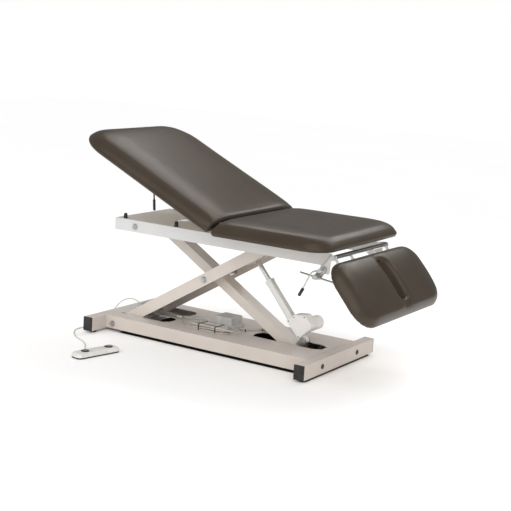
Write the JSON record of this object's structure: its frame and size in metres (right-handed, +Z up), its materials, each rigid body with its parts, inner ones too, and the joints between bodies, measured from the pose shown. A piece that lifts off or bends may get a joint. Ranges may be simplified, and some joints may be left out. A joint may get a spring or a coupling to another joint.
{
  "type": "chiropractic table",
  "caption": "Powered treatment table: crossed lift arms on a beam base, fixed seat, raising backrest and a drop section with a face slot.",
  "frame": {"origin": "middle of the front beam's rubber runner, on the floor", "axes": "+X along the table from the backrest end to the drop section, +Y to the far side, +Z up"},
  "size_m": [1.7993, 1.2259, 1.0929],
  "materials": {
    "painted_frame": "satin powder coat, warm greige",
    "painted_top": "satin powder coat, light grey",
    "zinc": "zinc-plated steel",
    "bright": "bright chrome plate",
    "black_rubber": "matt black rubber",
    "black_plastic": "matt black plastic",
    "roller_plastic": "turned nylon",
    "drive_plastic": "off-white moulded plastic",
    "drive_metal": "satin aluminium",
    "black_steel": "black enamel",
    "vinyl": "satin upholstery vinyl, dark taupe",
    "plywood": "birch plywood",
    "grey_plastic": "grey moulded plastic",
    "cable": "smooth light-grey cable sheath",
    "switch_white": "off-white moulded plastic",
    "switch_dark": "dark grey plastic"
  },
  "bodies": {
    "base": {"front_beam": "painted_frame", "rear_beam": "painted_frame", "beam_caps": "black_plastic", "base_feet": "black_rubber", "deck_tray": "painted_frame", "base_pivot_shaft": "zinc", "base_roller_tracks": "zinc", "control_box": "grey_plastic", "junction_box": "grey_plastic", "cable_hank": "cable", "cable_ties": "black_plastic", "deck_cables": "cable", "foot_switch_base": "switch_dark", "foot_switch_shell": "switch_white", "foot_cord": "cable"},
    "outer_arm_set": {"outer_arm": "painted_frame", "rod_lugs": "painted_frame", "upper_roller_axle": "zinc", "crossing_bolt": "zinc"},
    "inner_arm_set": {"inner_arm": "painted_frame", "lower_roller_axle": "zinc", "drive_clevis": "painted_frame"},
    "lower_roller_n": {"lower_roller_near": "roller_plastic"},
    "lower_roller_f": {"lower_roller_far": "roller_plastic"},
    "upper_roller_n": {"upper_roller_near": "roller_plastic"},
    "upper_roller_f": {"upper_roller_far": "roller_plastic"},
    "drive_body": {"drive_housing": "drive_plastic", "drive_motor": "drive_plastic", "drive_guide_tube": "drive_metal"},
    "drive_slide_set": {"drive_slide": "drive_metal"},
    "upper_frame": {"top_frame": "painted_top", "frame_ears": "painted_top", "ear_bolts": "zinc", "frame_pivot_shaft": "zinc", "frame_roller_tracks": "zinc", "backrest_bumpers": "black_rubber", "seat_posts": "painted_top", "seat_board": "plywood", "seat_cushion": "vinyl", "seat_hinge_leaves": "zinc", "spring_anchor": "painted_top"},
    "backrest": {"backrest_board": "plywood", "backrest_cushion": "vinyl", "backrest_hinge_leaves": "zinc", "backrest_crank": "zinc", "release_bracket": "zinc"},
    "release": {"release_lever": "black_plastic"},
    "gas_cylinder": {"gas_spring_cylinder": "black_steel"},
    "gas_rod": {"gas_spring_rod": "bright"},
    "drop_section": {"drop_board": "plywood", "drop_cushion": "vinyl", "drop_tube": "bright", "drop_tabs": "zinc", "drop_lug": "zinc"},
    "clamp_block": {"clamp_body": "bright"},
    "clamp_slide": {"clamp_rod": "bright"},
    "clamp_handle": {"clamp_lever": "bright", "clamp_grip": "black_plastic"},
    "button_down": {"foot_button_down": "switch_dark"},
    "button_up": {"foot_button_up": "switch_dark"}
  },
  "joints": [
    {"name": "lift", "type": "hinge", "parent": "base", "child": "outer_arm_set", "pos_m": [-1.25204, 0, 0.044], "axis": [0, -1, 0], "range_deg": [-11.7, 13]},
    {"name": "arm_crossing", "type": "hinge", "parent": "outer_arm_set", "child": "inner_arm_set", "pos_m": [-0.73027, 0, 0.36], "axis": [0, -1, 0], "range_deg": [-26.2, 23.6]},
    {"name": "frame_level", "type": "hinge", "parent": "inner_arm_set", "child": "upper_frame", "pos_m": [-1.12203, 0, 0.59725], "axis": [0, -1, 0], "range_deg": [-11.8, 13.1]},
    {"name": "lower_roller_near_spin", "type": "hinge", "parent": "inner_arm_set", "child": "lower_roller_n", "pos_m": [-0.2085, -0.224, 0.044], "axis": [0, 1, 0], "continuous": true},
    {"name": "lower_roller_far_spin", "type": "hinge", "parent": "inner_arm_set", "child": "lower_roller_f", "pos_m": [-0.2085, 0.224, 0.044], "axis": [0, 1, 0], "continuous": true},
    {"name": "upper_roller_near_spin", "type": "hinge", "parent": "outer_arm_set", "child": "upper_roller_n", "pos_m": [-0.33852, -0.163, 0.59725], "axis": [0, 1, 0], "continuous": true},
    {"name": "upper_roller_far_spin", "type": "hinge", "parent": "outer_arm_set", "child": "upper_roller_f", "pos_m": [-0.33852, 0.163, 0.59725], "axis": [0, 1, 0], "continuous": true},
    {"name": "drive_swing", "type": "hinge", "parent": "inner_arm_set", "child": "drive_body", "pos_m": [-0.1811, 0, 0.10854], "axis": [0, -1, 0], "range_deg": [-2.4, 2.2]},
    {"name": "drive_extend", "type": "slide", "parent": "drive_body", "child": "drive_slide_set", "axis": [-0.6504, 0, 0.7596], "range_m": [-0.11, 0.1222]},
    {"name": "backrest_tilt", "type": "hinge", "parent": "upper_frame", "child": "backrest", "pos_m": [-0.51904, 0, 0.708], "axis": [0, 1, 0], "range_deg": [-24.5, 53.5]},
    {"name": "release_pull", "type": "hinge", "parent": "backrest", "child": "release", "pos_m": [-0.94403, -0.33, 0.82805], "axis": [0, 1, 0], "range_deg": [0, 14], "stiffness_Nm_per_rad": 0.6, "springref_deg": -20.05},
    {"name": "spring_swing", "type": "hinge", "parent": "upper_frame", "child": "gas_cylinder", "pos_m": [-0.11904, 0.212, 0.602], "axis": [0, 1, 0], "range_deg": [-0.6, 1.1]},
    {"name": "spring_extend", "type": "slide", "parent": "gas_cylinder", "child": "gas_rod", "axis": [-1, 0, -0.0013], "range_m": [-0.0457, 0.0995]},
    {"name": "drop_tilt", "type": "hinge", "parent": "upper_frame", "child": "drop_section", "pos_m": [0.09996, 0, 0.6205], "axis": [0, -1, 0], "range_deg": [-35, 49.6]},
    {"name": "clamp_swing", "type": "hinge", "parent": "upper_frame", "child": "clamp_block", "pos_m": [0.05096, -0.284, 0.558], "axis": [0, -1, 0], "range_deg": [-18.2, 24.9]},
    {"name": "clamp_rod_swing", "type": "hinge", "parent": "drop_section", "child": "clamp_slide", "pos_m": [0.13323, -0.3, 0.54839], "axis": [0, -1, 0], "range_deg": [-24.9, 18.2]},
    {"name": "clamp_lever_turn", "type": "hinge", "parent": "clamp_block", "child": "clamp_handle", "pos_m": [0.05096, -0.322, 0.558], "axis": [0, -1, 0], "range_deg": [-8, 30]},
    {"name": "press_down_button", "type": "slide", "parent": "base", "child": "button_down", "axis": [0, 0, -1], "range_m": [0, 0.003], "stiffness_N_per_m": 600, "springref_m": -0.002},
    {"name": "press_up_button", "type": "slide", "parent": "base", "child": "button_up", "axis": [0, 0, -1], "range_m": [0, 0.003], "stiffness_N_per_m": 600, "springref_m": -0.002}
  ],
  "couplings": [
    {"joint": "arm_crossing", "follows": "lift", "ratio": -2},
    {"joint": "frame_level", "follows": "lift", "ratio": 1},
    {"joint": "drive_swing", "follows": "lift", "ratio": -0.15371},
    {"joint": "drive_extend", "follows": "lift", "m_per_rad": 0.53417},
    {"joint": "spring_swing", "follows": "backrest_tilt", "ratio": 0.017537},
    {"joint": "spring_extend", "follows": "backrest_tilt", "m_per_rad": 0.10592},
    {"joint": "clamp_swing", "follows": "drop_tilt", "ratio": 0.5},
    {"joint": "clamp_rod_swing", "follows": "drop_tilt", "ratio": -0.5}
  ]
}
